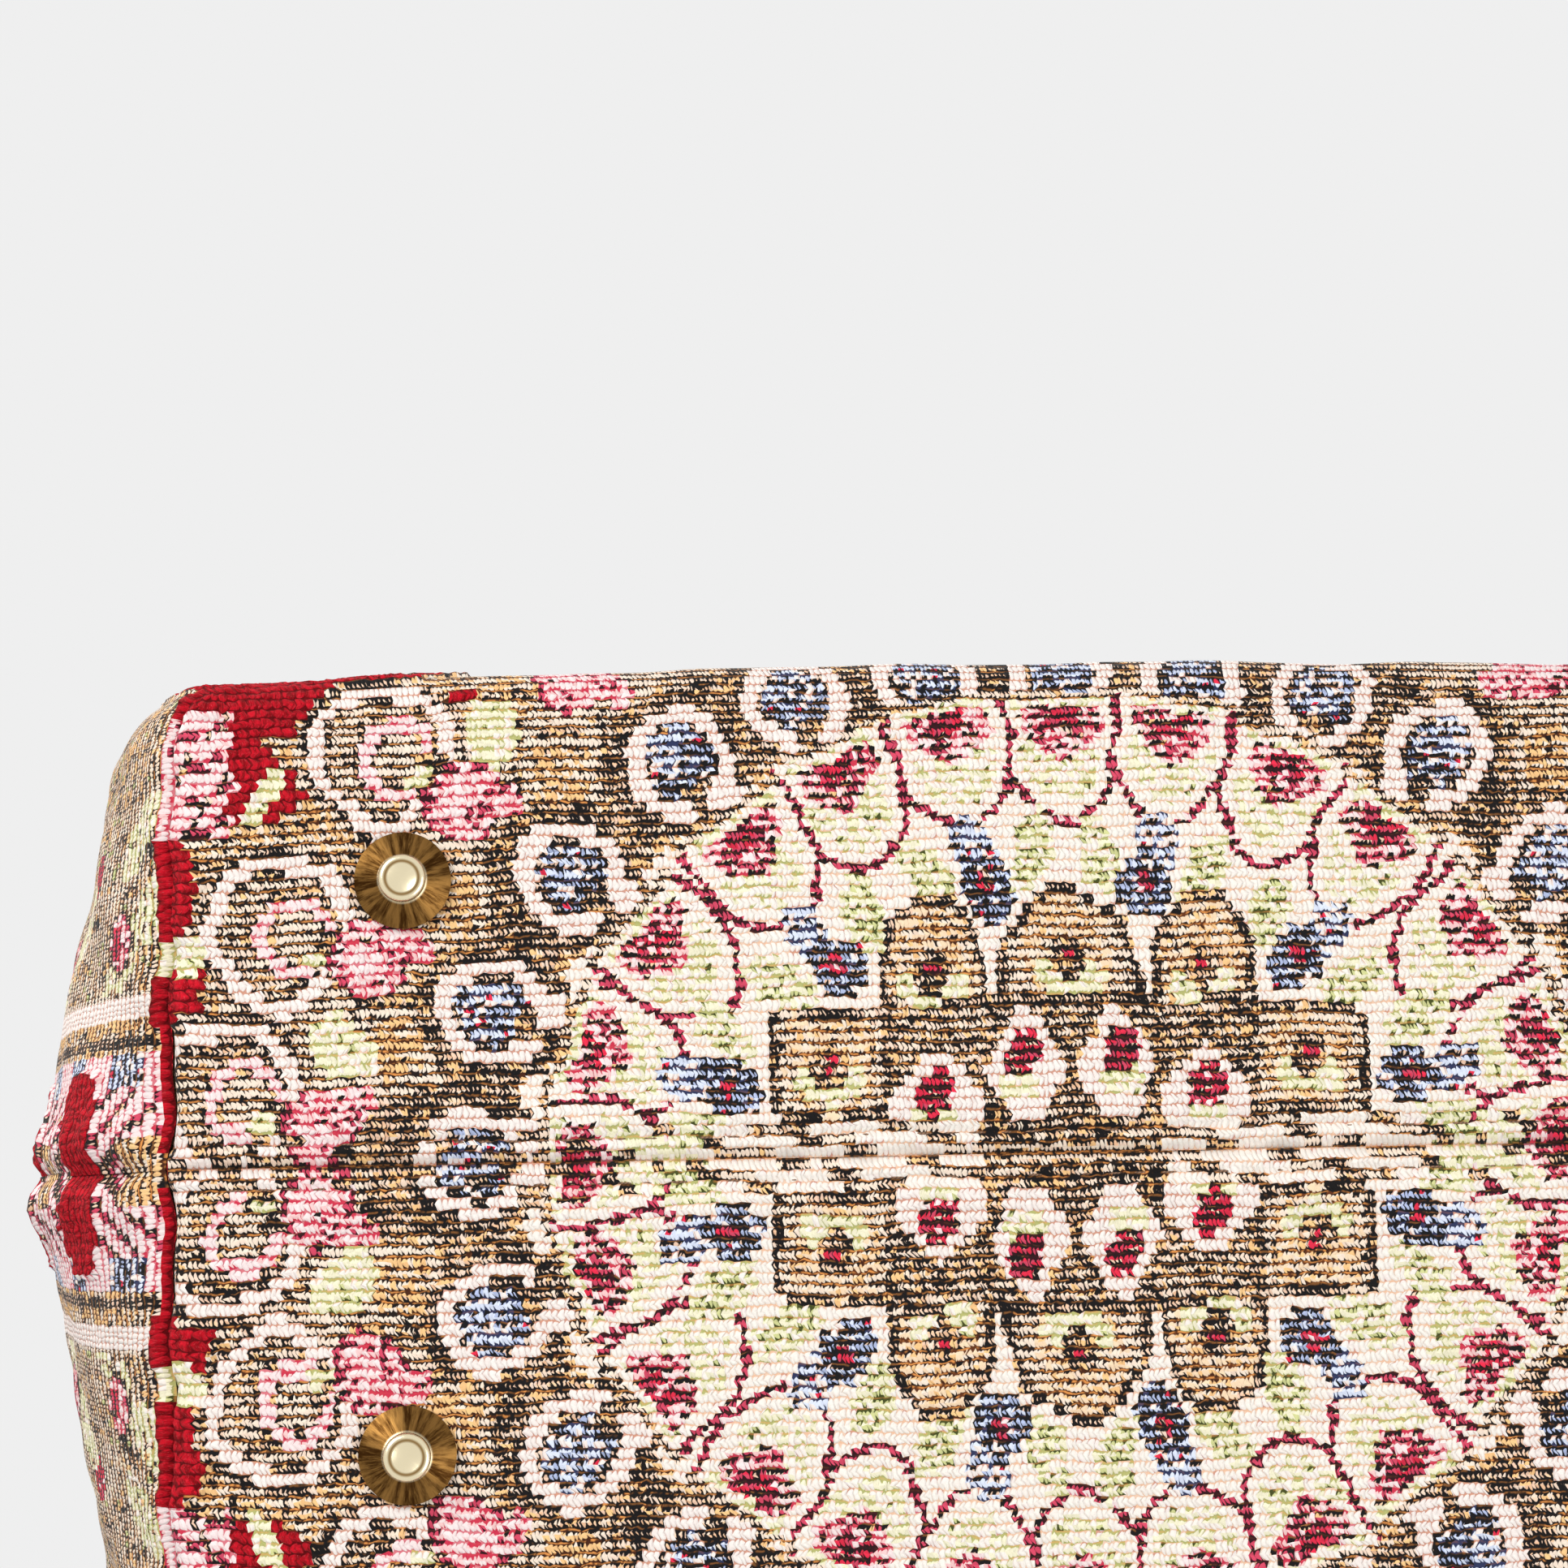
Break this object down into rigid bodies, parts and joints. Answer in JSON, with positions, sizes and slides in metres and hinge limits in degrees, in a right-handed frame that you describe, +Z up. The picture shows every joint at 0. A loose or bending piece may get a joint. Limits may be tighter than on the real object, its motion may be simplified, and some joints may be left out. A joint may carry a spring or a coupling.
{
  "type": "carpet bag",
  "caption": "Soft carpet bag standing on brass feet, with a hinged mouth frame that closes with a ball clasp and leather carrying handles.",
  "frame": {"origin": "on the floor under the middle of the base, level with the undersides of the feet", "axes": "+X along the bag's length, +Y from the front face to the back face, +Z up"},
  "size_m": [0.3594, 0.171, 0.2935],
  "materials": {
    "carpet": "woven carpet with a traditional floral pattern",
    "throat_leather": "matte",
    "lining_cloth": "plain cotton",
    "board": "raw fibreboard",
    "foot_brass": "antique, turned",
    "inner_steel": "plain",
    "frame_brass": "antique",
    "handle_leather": "satin"
  },
  "bodies": {
    "bag": {"front_panel": "carpet", "back_panel": "carpet", "front_yoke": "throat_leather", "back_yoke": "throat_leather", "lining": "lining_cloth", "base_board": "board", "foot_front_left": "foot_brass", "foot_front_right": "foot_brass", "foot_back_left": "foot_brass", "foot_back_right": "foot_brass", "foot_washers": "inner_steel", "left_hinge_rivet": "frame_brass", "right_hinge_rivet": "frame_brass", "left_end_tab": "handle_leather", "right_end_tab": "handle_leather", "front_handle": "handle_leather", "back_handle": "handle_leather", "handle_rivets": "frame_brass", "handle_burrs": "inner_steel"},
    "front_jaw": {"front_jaw": "frame_brass", "front_clasp_ball": "frame_brass"},
    "back_jaw": {"back_jaw": "frame_brass", "back_clasp_ball": "frame_brass"}
  },
  "joints": [
    {"name": "front_jaw_hinge", "type": "hinge", "parent": "bag", "child": "front_jaw", "pos_m": [0, 0, 0.174], "axis": [1, 0, 0], "range_deg": [0, 45], "deforming": ["front_yoke"]},
    {"name": "back_jaw_hinge", "type": "hinge", "parent": "bag", "child": "back_jaw", "pos_m": [0, 0, 0.174], "axis": [-1, 0, 0], "range_deg": [0, 45], "deforming": ["back_yoke"]}
  ]
}
